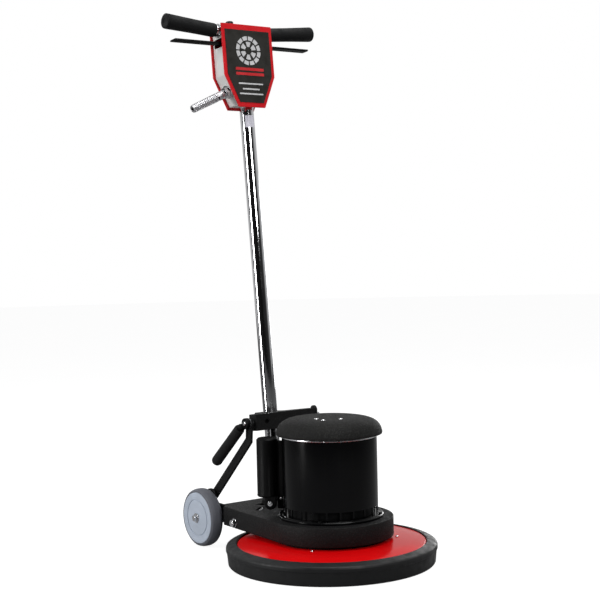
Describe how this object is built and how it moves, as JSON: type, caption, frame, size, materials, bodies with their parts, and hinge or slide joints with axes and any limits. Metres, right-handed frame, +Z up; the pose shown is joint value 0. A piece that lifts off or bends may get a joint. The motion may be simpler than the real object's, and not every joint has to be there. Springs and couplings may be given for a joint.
{
  "type": "rotary floor machine",
  "caption": "Upright rotary floor machine: round scrubbing deck with bumper, vertical motor, two rear transport wheels and a folding operator handle with grips and trigger bar.",
  "frame": {"origin": "centre of the floor pad's underside, on the floor", "axes": "+Z up, -Y to the front of the deck, +Y to the operator and the transport wheels, X across the machine along the wheel axle"},
  "size_m": [0.45, 0.603, 1.1878],
  "materials": {
    "red_paint": "glossy red paint",
    "black_paint": "fine black wrinkle paint",
    "gloss_black": "gloss black paint",
    "black_rubber": "moulded black rubber",
    "tyre_rubber": "dark grey rubber",
    "hub_plastic": "blue-grey moulded plastic",
    "chrome": "bright chrome plate",
    "grey_metal": "light grey sheet metal",
    "steel": "machined steel",
    "cast_iron": "cast iron",
    "copper": "varnished copper wire",
    "black_plastic": "black moulded plastic",
    "label_black": "matte dark panel film",
    "pad_fibre": "open nylon fibre"
  },
  "bodies": {
    "deck": {"chassis_housing": "black_paint", "deck_apron": "red_paint", "bumper_ring": "black_rubber", "ring_gear": "steel", "output_bearing": "steel", "motor_flange": "black_paint", "lower_motor_bearing": "steel", "motor_shell": "gloss_black", "stator_core": "steel", "stator_winding": "copper", "motor_band": "chrome", "end_bell": "cast_iron", "upper_motor_bearing": "steel", "motor_cap": "black_paint", "cap_screw_1": "chrome", "cap_screw_2": "chrome", "cap_screw_3": "chrome", "capacitor_cover": "black_paint", "start_capacitor": "black_plastic", "wheel_axle": "steel", "axle_cap_left": "chrome", "axle_cap_right": "chrome", "side_bolt_left": "chrome", "side_bolt_right": "chrome", "handle_pivot_bolt": "chrome"},
    "rotor": {"motor_shaft": "steel", "rotor_core": "cast_iron", "cooling_fan": "black_plastic"},
    "pad_drive": {"planet_carrier": "steel", "pad_driver": "black_plastic", "floor_pad": "pad_fibre"},
    "planet_1": {"planet_gear_1": "steel"},
    "planet_2": {"planet_gear_2": "steel"},
    "planet_3": {"planet_gear_3": "steel"},
    "wheel_left": {"tyre_left": "tyre_rubber", "wheel_hub_left": "hub_plastic"},
    "wheel_right": {"tyre_right": "tyre_rubber", "wheel_hub_right": "hub_plastic"},
    "handle": {"handle_tube": "chrome", "switch_box": "grey_metal", "front_plate": "red_paint", "rear_plate": "red_paint", "label_panel": "label_black", "handlebar": "chrome", "grip_left": "black_rubber", "grip_right": "black_rubber", "gland_nut": "chrome", "cord_guard_spring": "chrome", "cord_stub": "black_rubber", "power_switch": "black_plastic", "button_spring": "steel"},
    "trigger": {"trigger_bar": "black_paint"},
    "button": {"lock_button": "black_plastic"},
    "yoke": {"handle_yoke": "black_paint", "clamp_rod": "chrome"},
    "lever": {"lock_lever": "black_paint", "lever_grip": "black_rubber"},
    "strut_l": {"strut_left": "black_paint"},
    "strut_r": {"strut_right": "black_paint"}
  },
  "joints": [
    {"name": "handle_tilt", "type": "hinge", "parent": "deck", "child": "handle", "pos_m": [0, 0.1973, 0.115], "axis": [-1, 0, 0], "range_deg": [0, 40]},
    {"name": "yoke_slide", "type": "slide", "parent": "handle", "child": "yoke", "axis": [0, 0.0958, 0.9954], "range_m": [0, 0.105]},
    {"name": "strut_left_swing", "type": "hinge", "parent": "yoke", "child": "strut_l", "pos_m": [0, 0.17006, 0.28801], "axis": [-1, 0, 0], "range_deg": [0, 10.5]},
    {"name": "strut_right_swing", "type": "hinge", "parent": "yoke", "child": "strut_r", "pos_m": [0, 0.17006, 0.28801], "axis": [-1, 0, 0], "range_deg": [0, 10.5]},
    {"name": "lock_lever_turn", "type": "hinge", "parent": "yoke", "child": "lever", "pos_m": [0, 0.17006, 0.28801], "axis": [1, 0, 0], "range_deg": [0, 75]},
    {"name": "trigger_squeeze", "type": "hinge", "parent": "handle", "child": "trigger", "pos_m": [0, 0.30746, 1.11304], "axis": [-1, 0, 0], "range_deg": [0, 12], "stiffness_Nm_per_rad": 1, "springref_deg": -17.19},
    {"name": "lock_button_press", "type": "slide", "parent": "handle", "child": "button", "axis": [0, -0.0958, -0.9954], "range_m": [0, 0.004], "stiffness_N_per_m": 400, "springref_m": -0.004, "deforming": ["button_spring"]},
    {"name": "wheel_left_spin", "type": "hinge", "parent": "deck", "child": "wheel_left", "pos_m": [0, 0.313, 0.065], "axis": [1, 0, 0], "continuous": true},
    {"name": "wheel_right_spin", "type": "hinge", "parent": "deck", "child": "wheel_right", "pos_m": [0, 0.313, 0.065], "axis": [1, 0, 0], "continuous": true},
    {"name": "pad_spin", "type": "hinge", "parent": "deck", "child": "pad_drive", "pos_m": [0, 0, 0], "axis": [0, 0, 1], "continuous": true},
    {"name": "motor_spin", "type": "hinge", "parent": "deck", "child": "rotor", "pos_m": [0, 0, 0.1], "axis": [0, 0, 1], "continuous": true},
    {"name": "planet_1_spin", "type": "hinge", "parent": "pad_drive", "child": "planet_1", "pos_m": [0.045, 0, 0.077], "axis": [0, 0, 1], "continuous": true},
    {"name": "planet_2_spin", "type": "hinge", "parent": "pad_drive", "child": "planet_2", "pos_m": [-0.0225, 0.03897, 0.077], "axis": [0, 0, 1], "continuous": true},
    {"name": "planet_3_spin", "type": "hinge", "parent": "pad_drive", "child": "planet_3", "pos_m": [-0.0225, -0.03897, 0.077], "axis": [0, 0, 1], "continuous": true}
  ],
  "couplings": [
    {"joint": "yoke_slide", "follows": "handle_tilt", "m_per_rad": 0.1482},
    {"joint": "strut_left_swing", "follows": "handle_tilt", "ratio": 0.25},
    {"joint": "strut_right_swing", "follows": "handle_tilt", "ratio": 0.25},
    {"joint": "motor_spin", "follows": "pad_spin", "ratio": 10},
    {"joint": "planet_1_spin", "follows": "pad_spin", "ratio": -2.25},
    {"joint": "planet_2_spin", "follows": "pad_spin", "ratio": -2.25},
    {"joint": "planet_3_spin", "follows": "pad_spin", "ratio": -2.25}
  ]
}
